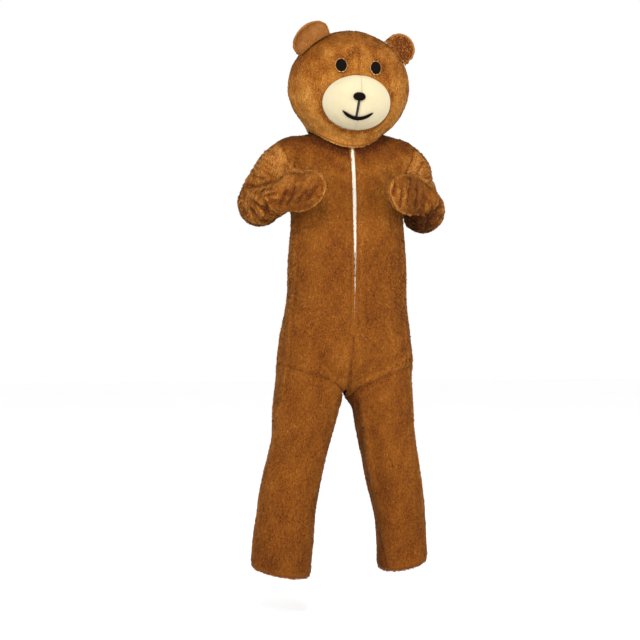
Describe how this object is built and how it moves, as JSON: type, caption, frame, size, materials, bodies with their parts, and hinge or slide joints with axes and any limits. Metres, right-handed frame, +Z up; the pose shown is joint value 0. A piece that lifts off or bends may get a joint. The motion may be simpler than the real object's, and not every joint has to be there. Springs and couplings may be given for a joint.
{
  "type": "bear mascot costume",
  "caption": "Plush bear suit with sewn mitts, open trouser hems and a front zip, and its round plush head with ears and muzzle, shaped as worn with both forearms raised.",
  "frame": {"origin": "middle of the neck, where the suit rests on the wearer's shoulders", "axes": "+Z up along the body, the wearer faces -Y, +X is the wearer's left"},
  "size_m": [0.6579, 0.4155, 1.683],
  "materials": {
    "suit_plush": "short pile, mottled",
    "head_plush": "short pile, mottled",
    "ear_plush": "short pile",
    "muzzle_cloth": "smooth knit",
    "black_felt": "matt felt",
    "eye_cloth": "matt, stuffed",
    "zip_tape": "woven",
    "zip_teeth": "satin",
    "zip_metal": "satin"
  },
  "bodies": {
    "costume": {"back_left": "suit_plush", "back_right": "suit_plush", "ear_back_left": "head_plush", "ear_back_right": "head_plush", "ear_front_left": "ear_plush", "ear_front_right": "ear_plush", "eye_left": "eye_cloth", "eye_right": "eye_cloth", "face_left": "head_plush", "face_right": "head_plush", "front_left": "suit_plush", "front_right": "suit_plush", "leg_back_left": "suit_plush", "leg_back_right": "suit_plush", "leg_front_left": "suit_plush", "leg_front_right": "suit_plush", "mitt_back_left": "suit_plush", "mitt_back_right": "suit_plush", "mitt_palm_left": "suit_plush", "mitt_palm_right": "suit_plush", "mouth": "black_felt", "muzzle_left": "muzzle_cloth", "muzzle_right": "muzzle_cloth", "nape_left": "head_plush", "nape_right": "head_plush", "nose": "black_felt", "sleeve_back_left": "suit_plush", "sleeve_back_right": "suit_plush", "sleeve_front_left": "suit_plush", "sleeve_front_right": "suit_plush", "zip_chain": "zip_teeth", "zip_slider": "zip_metal", "zip_tape_left": "zip_tape", "zip_tape_right": "zip_tape"},
    "pull_tab": {"zip_pull": "zip_metal"}
  },
  "joints": [
    {"name": "zip_pull_hinge", "type": "hinge", "parent": "costume", "child": "pull_tab", "pos_m": [-0.00007, -0.07913, 0.0069], "axis": [-1, 0, 0], "range_deg": [0, 25]}
  ]
}
